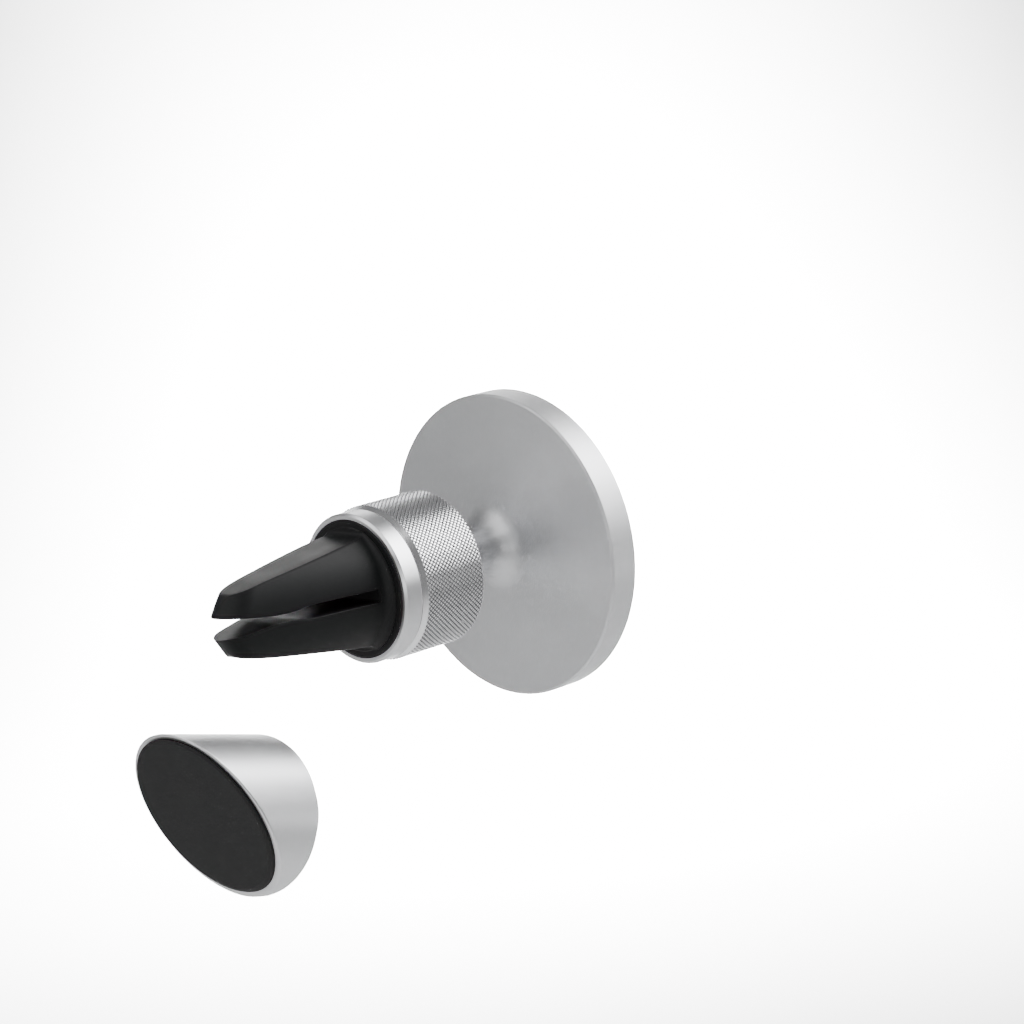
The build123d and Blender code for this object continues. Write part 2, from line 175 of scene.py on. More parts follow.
PAPER_GRAIN = 3 * MM
paper = Paint("white_paper", Base_Color=(0.93, 0.93, 0.93, 1), Roughness=0.9)
grain = paper.noise(paper.place(), PAPER_GRAIN)
paper.feed("Base Color", paper.between(grain, (0.92, 0.92, 0.92), (0.94, 0.94, 0.94)))

FLOOR_DROP = 450 * MM
WALL_DISTANCE = 3.0
FLOOR_REACH = 12.0
SWEEP_R = 0.8
SWEEP_STEPS = 24
SWEEP_TURN = math.radians(80)
VIEW_AZIMUTH = math.radians(46.3)
floor_z = cad_low[2] - FLOOR_DROP
sweep = bmesh.new()
line = [(-FLOOR_REACH, floor_z), (WALL_DISTANCE - SWEEP_R, floor_z)]
for step in range(1, SWEEP_STEPS + 1):
    turn = SWEEP_TURN * step / SWEEP_STEPS
    line.append((WALL_DISTANCE - SWEEP_R * (1 - math.sin(turn)), floor_z + SWEEP_R * (1 - math.cos(turn))))
edges = [[sweep.verts.new((side, along, height)) for along, height in line]
         for side in (-FLOOR_REACH, FLOOR_REACH)]
for number in range(len(line) - 1):
    sweep.faces.new((edges[0][number], edges[1][number], edges[1][number + 1], edges[0][number + 1]))
sweep.transform(Matrix.Rotation(VIEW_AZIMUTH, 4, "Z"))
floor_mesh = bpy.data.meshes.new("floor")
sweep.to_mesh(floor_mesh)
floor_mesh.materials.append(paper.material)
floor_mesh.polygons.foreach_set("use_smooth", [True] * len(floor_mesh.polygons))
floor = bpy.data.objects.new("floor", floor_mesh)
bpy.context.collection.objects.link(floor)


MOUNT_MIDDLE = (0, -0.035, 0)
PAPER_BEHIND = (-1.78, 1.70, -0.51)


def lamp(name, spot, size, power, aim=MOUNT_MIDDLE, spread=180):
    """Soft box: where it stands and its two sides in metres, its power in watts, the point that it is
    turned to, and the angle in degrees that its light keeps within. The lamp itself isn't seen."""
    data = bpy.data.lights.new(name, "AREA")
    data.shape = "RECTANGLE"
    data.size, data.size_y = size
    data.energy = power
    data.spread = math.radians(spread)
    light = bpy.data.objects.new(name, data)
    light.location = spot
    light.visible_camera = False
    direction = Vector(aim) - Vector(spot)
    light.rotation_euler = direction.to_track_quat("-Z", "Y").to_euler()
    bpy.context.collection.objects.link(light)


lamp("lamp_key", (0.38, 0.64, 0.59), (0.8, 0.5), 5.0, spread=100)
lamp("lamp_above", (0.25, -0.62, 0.78), (0.6, 0.6), 3.0)
lamp("lamp_far_top", (-1.07, 0.90, 0.58), (0.7, 0.35), 3.5)
lamp("lamp_right", (0.76, 0.70, 0.30), (0.4, 0.4), 3.0)
lamp("lamp_front", (-0.69, -1.10, -0.08), (0.9, 0.6), 1.3)
lamp("lamp_front_right", (0.02, -1.30, 0.10), (0.5, 0.5), 2.8)
lamp("lamp_left", (-1.25, 0.40, 0.40), (0.5, 0.6), 1.5)
lamp("lamp_flare", (-0.42, -0.60, 0.76), (0.6, 0.6), 3.0)
lamp("lamp_edge", (0.82, -0.86, 0.02), (0.4, 0.4), 2.0)
lamp("lamp_wedge_side", (0.50, 0.95, -0.30), (0.28, 0.28), 1.2)
lamp("lamp_wedge_top", (-0.46, 0.95, 0.34), (0.28, 0.28), 1.0)
lamp("lamp_backdrop", (-1.60, 1.53, 1.4), (0.8, 2.3), 210.0, aim=PAPER_BEHIND, spread=44)

ROOM_GLOW = 0.22
world = bpy.data.worlds.new("studio")
world.use_nodes = True
room = world.node_tree.nodes["Background"]
room.inputs["Color"].default_value = (1, 1, 1, 1)
room.inputs["Strength"].default_value = ROOM_GLOW
bpy.context.scene.world = world


# ---- Head disc -----------------------------------------------------------------------------------------
# The disc, its shallow trumpet back and the stem are one piece of aluminium, turned with a fine
# concentric tool finish. The edges are broken by a hair, and the phone's side is bored out for the magnets.

# Sizes on pieces are in millimetres, and a mesh is made in metres.
SEGMENTS = 208
HOLD = 0.12     # an extra point stands this far beside a rounding
FIT = 0.05      # play between two pieces that fit into each other


def eased(corners, steps=4):
    """Closed outline of (radius, depth, slant) points with its corners rounded. Points are added just
    off each rounding, so that shading stays flat beside it."""
    outline = []
    for number, (radius, depth, ease, slant) in enumerate(corners):
        here = Vector((radius, depth))
        if not ease:
            outline.append((radius, depth, slant))
            continue
        before = corners[number - 1]
        after = corners[(number + 1) % len(corners)]
        back_way = (Vector(before[:2]) - here).normalized()
        on_way = (Vector(after[:2]) - here).normalized()
        half = back_way.angle(on_way) / 2
        reach = ease / math.tan(half)
        centre = here + (back_way + on_way).normalized() * ease / math.sin(half)
        first = here + back_way * reach
        last = here + on_way * reach
        outline.append((*(first + back_way * HOLD), slant))
        for step in range(steps + 1):
            swung = (first - centre).slerp(last - centre, step / steps).normalized() * ease
            outline.append((*(centre + swung), slant))
        outline.append((*(last + on_way * HOLD), slant))
    return outline


def lathe(outline, segments=SEGMENTS, slope=0.0):
    """Closed solid turned about the mount's axis from millimetres behind the phone face. A point's slant
    times slope tips its ring, as a bar cut at an angle is tipped."""
    made = bmesh.new()
    rings = []
    for radius, depth, slant in outline:
        if not radius:
            rings.append([made.verts.new((0, -depth * MM, 0))])
            continue
        ring = []
        for number in range(segments):
            turn = 2 * math.pi * number / segments
            x, z = radius * math.cos(turn), radius * math.sin(turn)
            ring.append(made.verts.new((x * MM, -(depth + slant * slope * z) * MM, z * MM)))
        rings.append(ring)
    for ring, other in zip(rings, rings[1:] + rings[:1]):
        for number in range(segments):
            corners = [ring[number % len(ring)], ring[(number + 1) % len(ring)],
                       other[(number + 1) % len(other)], other[number % len(other)]]
            unique = list(dict.fromkeys(corners))
            if len(unique) > 2:
                made.faces.new(unique)
    bmesh.ops.recalc_face_normals(made, faces=made.faces)
    return made


def piece(name, made, paint, body, node=None, sharp=40.0):
    """Turns a bmesh into a finished piece that rides on a body and stands for its CAD node."""
    mesh = bpy.data.meshes.new(name)
    made.to_mesh(mesh)
    made.free()
    mesh.materials.append(paint.material)
    mesh.polygons.foreach_set("use_smooth", [True] * len(mesh.polygons))
    mesh.set_sharp_from_angle(angle=math.radians(sharp))
    thing = bpy.data.objects.new(name, mesh)
    bpy.context.collection.objects.link(thing)
    if body:
        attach(thing, body)
    if node:
        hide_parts(node)
    return thing


def corner(radius, depth, ease=0.0, slant=0.0):
    """Corner of a turned outline, with the radius of its rounding and its share of a slanted cut."""
    return (radius, depth, ease, slant)


def extent(node):
    """Widest radius, first depth and last depth of a turned CAD node, in millimetres."""
    low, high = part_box(node)
    return (high[0] - low[0]) / 2 / MM, -high[1] / MM, -low[1] / MM


BLOOM = 9 * MM
BLAST_GRAIN = 0.12 * MM
BLAST_HEIGHT = 0.0025
ROUGH_SPREAD = 0.06


def turned_aluminium(name, ring_pitch, ring_depth, rough, location=(0, 0, 0), rotation=(0, 0, 0)):
    """Blasted satin aluminium with fine tool rings about the piece's own axis and a faint uneven bloom.
    The pitch is in metres and the depth in millimetres."""
    paint = Paint(name, Base_Color=(0.62, 0.625, 0.64, 1), Metallic=1.0, Roughness=rough)
    spot = paint.place(location=location, rotation=rotation)
    x, y, z = (paint.node("ShaderNodeSeparateXYZ", axis, Vector=spot) for axis in range(3))
    radius = (x * x + z * z).math("SQRT")
    rings = ((radius + y) * (2 * math.pi / ring_pitch)).math("SINE")
    bloom = paint.noise(spot, BLOOM, detail=4)
    fleck = paint.noise(spot, BLAST_GRAIN, detail=2)
    shade = bloom * 0.7 + fleck * 0.3
    paint.feed("Base Color", paint.between(shade, (0.58, 0.585, 0.60), (0.66, 0.665, 0.68)))
    paint.feed("Roughness", bloom * ROUGH_SPREAD + fleck * ROUGH_SPREAD + (rough - ROUGH_SPREAD))
    paint.bump(rings * ring_depth + fleck * BLAST_HEIGHT, MM)
    return paint


disc_r, rim_front, stem_end = extent("head_shell")
plate_r, _, pocket_floor = extent("back_plate")
screw_head_r, _, washer_back = extent("ball_screw_washer")
RIM = 6.0
RIM_EDGE = 0.35
EDGE_BREAK = 0.08
FACE_BREAK = 0.12
STEM_BREAK = 0.15
STEM_R = 4.0
NECK_R = 3.0
NECK_TOP = 22.0
NECK_BOTTOM = 22.8
FLARE_R = 5.0
BACK_SLOPE = math.radians(4.5)
FLARE_STEPS = 14
BORE_R = 2.05
rim_back = rim_front + RIM
flat_r = STEM_R + FLARE_R * (1 - math.sin(BACK_SLOPE))
back_depth = rim_back + (disc_r - RIM_EDGE - flat_r) * math.tan(BACK_SLOPE)
flare_depth = back_depth + FLARE_R * math.cos(BACK_SLOPE)

head_outline = [
    corner(BORE_R, stem_end),
    corner(NECK_R, stem_end, STEM_BREAK),
    corner(NECK_R, NECK_BOTTOM),
    corner(STEM_R, NECK_TOP),
]
for step in range(FLARE_STEPS + 1):
    turn = (math.pi / 2 - BACK_SLOPE) * step / FLARE_STEPS
    radius = STEM_R + FLARE_R * (1 - math.cos(turn))
    head_outline.append(corner(radius, flare_depth - FLARE_R * math.sin(turn)))
head_outline += [
    corner(disc_r - RIM_EDGE, rim_back, EDGE_BREAK),
    corner(disc_r, rim_back - RIM_EDGE, EDGE_BREAK),
    corner(disc_r, rim_front, FACE_BREAK),
    corner(plate_r + FIT, rim_front, EDGE_BREAK),
    corner(plate_r + FIT, pocket_floor),
    corner(screw_head_r + FIT, pocket_floor),
    corner(screw_head_r + FIT, washer_back),
    corner(BORE_R, washer_back),
]
head_finish = turned_aluminium("turned_aluminium_head", 0.14 * MM, 0.0038, rough=0.42)
piece("head_disc", lathe(eased(head_outline)), head_finish, "head", "head_shell")


# ---- Face pad and what is under it ---------------------------------------------------------------------
# A thin moulded silicone pad, glued over the disc's hollow side, keeps the phone from sliding. One round
# groove follows the magnets beneath it.

pad_r, pad_front, pad_back = extent("face_pad")
SILICONE_GRAIN = 0.12 * MM
SILICONE_CLOUD = 6 * MM
SILICONE_RELIEF = 0.012 * MM
silicone = Paint("face_silicone", Base_Color=(0.012, 0.012, 0.013, 1), Roughness=0.55,
                 Specular_IOR_Level=0.3)
skin = silicone.noise(silicone.place(), SILICONE_GRAIN, detail=2)
cloud = silicone.noise(silicone.place(), SILICONE_CLOUD)
silicone.feed("Base Color", silicone.between(cloud, (0.010, 0.010, 0.0108), (0.014, 0.014, 0.0150)))
silicone.feed("Roughness", cloud * 0.15 + skin * 0.08 + 0.42)
silicone.bump(skin, SILICONE_RELIEF)
GROOVE_R = 21.0
GROOVE_HALF = 0.35
GROOVE_DEPTH = 0.18
GROOVE_EASE = 0.08
GROOVE_FLOOR_EASE = 0.06
FACE_EASE = 0.22
face = [
    corner(0, pad_front),
    corner(GROOVE_R - GROOVE_HALF, pad_front, GROOVE_EASE),
    corner(GROOVE_R, pad_front + GROOVE_DEPTH, GROOVE_FLOOR_EASE),
    corner(GROOVE_R + GROOVE_HALF, pad_front, GROOVE_EASE),
    corner(pad_r, pad_front, FACE_EASE),
    corner(pad_r, pad_back),
    corner(0, pad_back),
]
piece("face_pad_skin", lathe(eased(face)), silicone, "head", "face_pad")


# ---- Hidden parts --------------------------------------------------------------------------------------
# The ball, cups, liners, screws, magnets and films keep the shape that the design gives them. They show
# only when the collar is loosened or the dash base is seen from its round end.

NYLON_GRAIN = 0.3 * MM
NYLON_RELIEF = 0.004 * MM
nylon = Paint("natural_nylon", Base_Color=(0.74, 0.72, 0.66, 1), Roughness=0.45, Subsurface_Weight=0.1)
cloud = nylon.noise(nylon.place(), 2 * MM)
nylon.feed("Base Color", nylon.between(cloud, (0.70, 0.68, 0.62), (0.79, 0.77, 0.71)))
nylon.feed("Roughness", cloud * 0.2 + 0.35)
nylon.bump(nylon.noise(nylon.place(), NYLON_GRAIN), NYLON_RELIEF)

zinc = Paint("zinc_steel", Base_Color=(0.55, 0.56, 0.57, 1), Metallic=1.0, Roughness=0.35)
cloud = zinc.noise(zinc.place(), 1.5 * MM, detail=4)
zinc.feed("Base Color", zinc.between(cloud, (0.48, 0.49, 0.50), (0.64, 0.65, 0.66)))
zinc.feed("Roughness", cloud * 0.25 + 0.22)

nickel = Paint("magnet_nickel", Base_Color=(0.66, 0.64, 0.61, 1), Metallic=1.0, Roughness=0.2)
cloud = nickel.noise(nickel.place(), 2.5 * MM)
nickel.feed("Base Color", nickel.between(cloud, (0.60, 0.58, 0.55), (0.72, 0.70, 0.67)))
nickel.feed("Roughness", cloud * 0.2 + 0.12)

polished = Paint("polished_ball", Base_Color=(0.72, 0.72, 0.73, 1), Metallic=1.0, Roughness=0.12)
cloud = polished.noise(polished.place(), 3 * MM)
polished.feed("Base Color", polished.between(cloud, (0.68, 0.68, 0.69), (0.77, 0.77, 0.78)))
polished.feed("Roughness", cloud * 0.12 + 0.07)

film = Paint("tape_film", Base_Color=(0.72, 0.71, 0.68, 1), Roughness=0.4)
cloud = film.noise(film.place(), 2 * MM)
film.feed("Base Color", film.between(cloud, (0.68, 0.67, 0.64), (0.76, 0.75, 0.72)))

SPARK_GRAIN = 0.15 * MM
SPARK_RELIEF = 0.008 * MM
moulded = Paint("moulded_black", Base_Color=(0.03, 0.03, 0.033, 1), Roughness=0.5)
cloud = moulded.noise(moulded.place(), 4 * MM)
spark = moulded.noise(moulded.place(), SPARK_GRAIN, detail=2)
moulded.feed("Base Color", moulded.between(cloud, (0.026, 0.026, 0.028), (0.038, 0.038, 0.041)))
moulded.feed("Roughness", spark * 0.12 + 0.42)
moulded.bump(spark, SPARK_RELIEF)

hidden = {
    "pad_adhesive": film,
    "magnet_carrier": moulded,
    "back_plate": zinc,
    "ball_screw": zinc,
    "ball_screw_washer": zinc,
    "ball": polished,
    "collar_liner": nylon,
    "seat_cup": nylon,
    "cup_cushion": moulded,
    "socket_screws": zinc,
    "upper_jaw_core": zinc,
    "lower_jaw_core": zinc,
    "dash_pad_tape": film,
    "dash_screws": zinc,
    "dash_seat_cup": nylon,
    "dash_cushion": moulded,
}
for name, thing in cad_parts.items():
    paint = nickel if name.startswith("magnet_") and name != "magnet_carrier" else hidden.get(name)
    if paint:
        for slot in thing.material_slots:
            slot.material = paint.material


# ---- Knurled collar ------------------------------------------------------------------------------------
# The clamping nut is turned from aluminium bar. Its grip is a rolled diamond knurl: two sets of crossing
# grooves that leave rows of flat-topped diamonds, darkened with painted shade. A smooth bevel is cut at
# the fork's end after knurling.

collar_r, collar_front, collar_back = extent("knurled_collar")
KNURL_ROUND = 104
KNURL_PITCH = 0.95
KNURL_DEPTH = 0.2
PITCH_STEPS = 4
KNURL_SHARP = math.radians(22)
BEVEL = 1.0
BEVEL_R = 13.6
BEVEL_RUN_IN = 0.04
BEVEL_SINK = 0.12
CREST = 0.02
CREST_WIDTH = 0.03
BACK_BEVEL = 0.45
BACK_STEP = 0.5
BACK_EASE = 0.1
THROAT_R = 5.8
THROAT_EASE = 0.1
MOUTH_R = 9.8
MOUTH_EASE = 0.25
THREAD_BORE_R = 10.58
CHAMFER = 0.3
throat_depth = extent("collar_liner")[1] - FIT

knurl_start = collar_front + BACK_BEVEL
knurl_end = collar_back - BEVEL
rows = round((knurl_end - knurl_start) / KNURL_PITCH) * PITCH_STEPS
knurl_segments = KNURL_ROUND * PITCH_STEPS
smooth_side = [
    corner(collar_r - BEVEL_SINK, knurl_end + BEVEL_RUN_IN),
    corner(BEVEL_R + CREST, collar_back - CREST_WIDTH, CREST),
    corner(BEVEL_R - CHAMFER, collar_back),
    corner(THREAD_BORE_R + CHAMFER, collar_back),
    corner(THREAD_BORE_R, collar_back - CHAMFER),
    corner(THREAD_BORE_R, throat_depth),
    corner(THROAT_R, throat_depth, THROAT_EASE),
    corner(MOUTH_R, collar_front, MOUTH_EASE),
    corner(collar_r - BACK_STEP, collar_front, BACK_EASE),
]
knurl_rows = [(collar_r, knurl_start + (knurl_end - knurl_start) * row / rows, 0.0)
              for row in range(rows + 1)]
collar_made = lathe(knurl_rows + eased(smooth_side), segments=knurl_segments)
# One vertex mark says where the grooves are cut and where painted shade darkens the metal.
low_mark = collar_made.verts.layers.float.new("groove")
collar_made.verts.ensure_lookup_table()
for row in range(rows + 1):
    for number in range(knurl_segments):
        in_groove = PITCH_STEPS // 2 in ((number + row) % PITCH_STEPS, (number - row) % PITCH_STEPS)
        collar_made.verts[row * knurl_segments + number][low_mark] = float(in_groove)

KNURL_BLOOM = 5 * MM
KNURL_GRAIN = 0.1 * MM
KNURL_RELIEF = 0.002 * MM
knurled = Paint("knurled_aluminium", Base_Color=(0.80, 0.80, 0.815, 1), Metallic=1.0, Roughness=0.24)
groove = knurled.node("ShaderNodeAttribute", "Fac", {"attribute_name": "groove"})
bloom = knurled.noise(knurled.place(), KNURL_BLOOM)
# Painted shade: the base colour runs from bright aluminium on the diamonds' flats to near black in the
# grooves, standing in for the shadow that falls in them.
shade = groove * 0.95 + bloom * 0.05
knurled.feed("Base Color", knurled.between(shade, (0.80, 0.805, 0.82), (0.10, 0.10, 0.105)))
knurled.feed("Roughness", bloom * 0.05 + groove * 0.1 + 0.22)
knurled.bump(knurled.noise(knurled.place(), KNURL_GRAIN, detail=2), KNURL_RELIEF)

knurl_tree = bpy.data.node_groups.new("cut_knurl", "GeometryNodeTree")
add_socket = knurl_tree.interface.new_socket
add_socket("Geometry", in_out="INPUT", socket_type="NodeSocketGeometry")
depth_socket = add_socket("Groove depth", in_out="INPUT", socket_type="NodeSocketFloat")
add_socket("Geometry", in_out="OUTPUT", socket_type="NodeSocketGeometry")
build = knurl_tree.nodes.new
wire = knurl_tree.links.new
entry = build("NodeGroupInput")
mark = build("GeometryNodeInputNamedAttribute")
mark.inputs["Name"].default_value = "groove"
place_of = build("GeometryNodeInputPosition")
flatten = build("ShaderNodeVectorMath")
flatten.operation = "MULTIPLY"
flatten.inputs[1].default_value = (-1, 0, -1)
wire(place_of.outputs[0], flatten.inputs[0])
inward = build("ShaderNodeVectorMath")
inward.operation = "NORMALIZE"
wire(flatten.outputs[0], inward.inputs[0])
amount = build("ShaderNodeMath")
amount.operation = "MULTIPLY"
wire(mark.outputs["Attribute"], amount.inputs[0])
wire(entry.outputs["Groove depth"], amount.inputs[1])
shift = build("ShaderNodeVectorMath")
shift.operation = "SCALE"
wire(inward.outputs[0], shift.inputs[0])
wire(amount.outputs[0], shift.inputs["Scale"])
cut = build("GeometryNodeSetPosition")
wire(entry.outputs["Geometry"], cut.inputs["Geometry"])
wire(shift.outputs[0], cut.inputs["Offset"])
facet = build("GeometryNodeTriangulate")
facet.quad_method = "SHORTEST_DIAGONAL"
wire(cut.outputs[0], facet.inputs[0])
real = build("GeometryNodeRealizeInstances")
wire(facet.outputs[0], real.inputs[0])
coat = build("GeometryNodeSetMaterial")
coat.inputs["Material"].default_value = knurled.material
wire(real.outputs[0], coat.inputs["Geometry"])
leave = build("NodeGroupOutput")
wire(coat.outputs[0], leave.inputs[0])

blank = bpy.data.meshes.new("collar_blank")
collar_made.to_mesh(blank)
collar_made.free()
blank.materials.append(knurled.material)
turned_blank = bpy.data.objects.new("collar_blank", blank)
bpy.context.collection.objects.link(turned_blank)
cutter = turned_blank.modifiers.new("knurl", "NODES")
cutter.node_group = knurl_tree
cutter[depth_socket.identifier] = KNURL_DEPTH * MM
seen = bpy.context.evaluated_depsgraph_get()
collar_mesh = bpy.data.meshes.new_from_object(turned_blank.evaluated_get(seen))
bpy.data.objects.remove(turned_blank)
collar_mesh.polygons.foreach_set("use_smooth", [True] * len(collar_mesh.polygons))
collar_mesh.set_sharp_from_angle(angle=KNURL_SHARP)
collar = bpy.data.objects.new("knurled_collar_grip", collar_mesh)
bpy.context.collection.objects.link(collar)
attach(collar, "collar")
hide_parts("knurled_collar")


# ---- Front ring ----------------------------------------------------------------------------------------
# A plain aluminium trim ring, turned and pressed round the clip's cap, with a bright narrow bevel at its
# front edge and a broken edge beside the collar.

ring_r, ring_front, ring_back = extent("front_ring")
RING_WALL = 1.07
RING_BEVEL = 0.45
RING_BREAK = 0.06
ring_outline = [
    corner(ring_r - RING_WALL, ring_front),
    corner(ring_r, ring_front, STEM_BREAK),
    corner(ring_r, ring_back - RING_BEVEL, RING_BREAK),
    corner(ring_r - RING_BEVEL, ring_back, RING_BREAK),
    corner(ring_r - RING_WALL, ring_back, RING_BREAK),
]
ring_finish = turned_aluminium("turned_aluminium_ring", 0.10 * MM, 0.0006, rough=0.34)
piece("front_trim_ring", lathe(eased(ring_outline)), ring_finish, "clip", "front_ring")


# ---- Vent clip -----------------------------------------------------------------------------------------
# The cap and the fork are one black rubber moulding over spring steel. A slot splits the fork into two
# jaws: it is narrowest at the grip and flares at the mouth. The nose is rounded and the edges are eased.

RUBBER_GRAIN = 0.10 * MM
RUBBER_CLOUD = 5 * MM
RUBBER_RELIEF = 0.010 * MM
rubber = Paint("black_rubber", Base_Color=(0.008, 0.008, 0.009, 1), Roughness=0.5, Specular_IOR_Level=0.2)
skin = rubber.noise(rubber.place(), RUBBER_GRAIN, detail=2)
cloud = rubber.noise(rubber.place(), RUBBER_CLOUD)
shade = cloud * 0.7 + skin * 0.3
rubber.feed("Base Color", rubber.between(shade, (0.004, 0.004, 0.0044), (0.007, 0.007, 0.0076)))
rubber.feed("Roughness", cloud * 0.12 + skin * 0.10 + 0.38)
rubber.bump(skin, RUBBER_RELIEF)

SIDE_R = 12.0
SIDE_FLATTENING = 0.4
HALF_WIDTH = 9.9
TAPER = 0.202
HALF_HEIGHT = 9.95
NOSE_LENGTH = 4.2
NOSE_SQUARE = 2.15
NOSE_BLEND = 1.4
NOSE_LEAN = 0.6
ROOT_FILLET = 1.5
ROOT_SWELL = 0.6
EDGE_EASE = 0.22
EDGE_STEPS = 4
SIDE_STEPS = 16
FILLET_STEPS = 8
BODY_STEPS = 48
NOSE_STEPS = 40
NOSE_END = 0.5
SAME_POINT = 0.001 * MM
BEND_EASE = 0.9
BEND_STEPS = 3
THINNEST = 0.01
EASE_SHARE = 0.6
QUARTER = math.pi / 2
CAP_PROUD = 0.3
cap_r = ring_r - RING_WALL - FIT
cap_front = ring_back + CAP_PROUD
jaw_root = -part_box("upper_jaw")[1][1] / MM
fork_tip = -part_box("upper_jaw")[0][1] / MM
fork_length = fork_tip - cap_front
# Bent lines of (distance, height): the outer one starts at the cap's face, the slot's one at its root.
outer_line = [(0.0, HALF_HEIGHT), (6.4, HALF_HEIGHT - 0.8), (23.3, HALF_HEIGHT - 3.28),
              (fork_length, HALF_HEIGHT - 4.9)]
slot_line = [(0.0, 1.15), (13.5, 1.15), (16.5, 0.72), (20.5, 0.72), (29.5, 1.9)]
mouth = slot_line[-1][1]


def along(line, spot, ease=BEND_EASE):
    """Height of a bent line at a distance along it, with its bends rounded by a moving average."""
    total = 0.0
    shifts = [ease * step / BEND_STEPS for step in range(-BEND_STEPS, BEND_STEPS + 1)]
    for shift in shifts:
        there = min(max(spot + shift, line[0][0]), line[-1][0])
        for (start, low), (end, high) in zip(line, line[1:]):
            if there <= end:
                total += low + (high - low) * (there - start) / (end - start)
                break
    return total / len(shifts)


def jaw_section(depth, bottom):
    """Half of the fork's outline at a depth, from the slot up: (x, z) points down one side only. Towards
    the nose each height is rounded off at its own depth, because the nose leans back."""
    rise = depth - cap_front
    swell = 0.0
    if rise < ROOT_FILLET:
        swell = ROOT_FILLET - math.sqrt(ROOT_FILLET ** 2 - (ROOT_FILLET - max(rise, 0.0)) ** 2)
    nose_top = mouth + (fork_tip - depth) / NOSE_LEAN
    line_top = along(outer_line, rise) + swell * ROOT_SWELL
    mix = min(1.0, max(0.0, 0.5 + 0.5 * (line_top - nose_top) / NOSE_BLEND))
    top = line_top + (nose_top - line_top) * mix - NOSE_BLEND * mix * (1 - mix)
    side_r = SIDE_R * (1 + SIDE_FLATTENING * max(rise, 0.0) / fork_length)
    centre = side_r - HALF_WIDTH + TAPER * rise

    def width(height):
        side = math.sqrt(side_r ** 2 - min(height, side_r) ** 2) - centre + swell
        tip = fork_tip + NOSE_LEAN * (mouth - height)
        past = max(0.0, (depth - (tip - NOSE_LENGTH)) / NOSE_LENGTH)
        return side * max(0.0, 1 - past ** NOSE_SQUARE) ** (1 / NOSE_SQUARE)

    tall = max(top - bottom, THINNEST)
    low_ease = min(EDGE_EASE, tall / 4, EASE_SHARE * width(bottom)) if bottom else 0.0
    high_ease = min(EDGE_EASE, tall / 4, EASE_SHARE * width(top))
    heights = [low_ease * (1 - math.cos(QUARTER * step / EDGE_STEPS)) for step in range(EDGE_STEPS + 1)]
    middle = tall - low_ease - high_ease
    for step in range(1, SIDE_STEPS + 1):
        heights.append(low_ease + middle * math.sin(QUARTER * step / SIDE_STEPS))
    for step in range(1, EDGE_STEPS + 1):
        heights.append(tall - high_ease * (1 - math.sin(QUARTER * step / EDGE_STEPS)))
    points = []
    for height in heights:
        cut = 0.0
        if height < low_ease:
            cut = low_ease - math.sqrt(low_ease ** 2 - (low_ease - height) ** 2)
        if height > tall - high_ease:
            cut = high_ease - math.sqrt(max(0.0, high_ease ** 2 - (height - tall + high_ease) ** 2))
        points.append((max(width(bottom + height) - cut, 0.0), bottom + height))
    first, last = points[0], points[-1]
    return [(0.0, bottom), (0.5 * first[0], bottom)] + points + [(0.5 * last[0], last[1]), (0.0, last[1])]


def jaw_mesh(way):
    """One half of the fork, closed, from inside the cap to the nose; way is 1 for the upper half."""
    stations = [(cap_front - CAP_PROUD, 0.0)]
    for step in range(FILLET_STEPS + 1):
        stations.append((cap_front + ROOT_FILLET * (1 - math.cos(QUARTER * step / FILLET_STEPS)), 0.0))
    stations += [(jaw_root, 0.0), (jaw_root, along(slot_line, 0))]
    nose_start = fork_tip - NOSE_LENGTH - NOSE_LEAN * HALF_HEIGHT / 2
    body = nose_start - jaw_root
    for step in range(1, BODY_STEPS + 1):
        stations.append((jaw_root + body * step / BODY_STEPS, along(slot_line, body * step / BODY_STEPS)))
    for step in range(1, NOSE_STEPS + 1):
        past = (fork_tip - nose_start) * math.sin(QUARTER * step / (NOSE_STEPS + NOSE_END))
        stations.append((nose_start + past, along(slot_line, body + past)))
    made = bmesh.new()
    rings = []
    for depth, bottom in stations:
        side = jaw_section(depth, bottom)
        loop = side + [(-x, z) for x, z in reversed(side[1:-1])]
        rings.append([made.verts.new((x * MM, -depth * MM, way * z * MM)) for x, z in loop])
    for ring, other in zip(rings, rings[1:]):
        for number in range(len(ring)):
            after = (number + 1) % len(ring)
            made.faces.new((ring[number], ring[after], other[after], other[number]))
    made.faces.new(rings[0])
    made.faces.new(rings[-1])
    bmesh.ops.remove_doubles(made, verts=made.verts, dist=SAME_POINT)
    bmesh.ops.recalc_face_normals(made, faces=made.faces)
    return made


CAP_STEP = 0.2
CAP_BAND = 1.2
CAP_EASE = 0.3
STEP_EASE = 0.05
cap_outline = [
    corner(0, ring_front),
    corner(cap_r, ring_front),
    corner(cap_r, cap_front - CAP_STEP, CAP_EASE),
    corner(cap_r - CAP_BAND, cap_front - CAP_STEP, STEP_EASE),
    corner(cap_r - CAP_BAND - CAP_STEP, cap_front, STEP_EASE),
    corner(0, cap_front),
]
piece("clip_cap", lathe(eased(cap_outline)), rubber, "clip", "fork_root")
for name, way in (("upper_jaw", 1), ("lower_jaw", -1)):
    half = piece(name + "_rubber", jaw_mesh(way), rubber, None, name, sharp=50)
    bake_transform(half)


# ---- Threaded sockets ----------------------------------------------------------------------------------
# Both bases hold the ball in the same moulded insert: a neck with a coarse one-millimetre thread for the
# collar, a pocket for the seat cup, and a floor with three sunk screws.

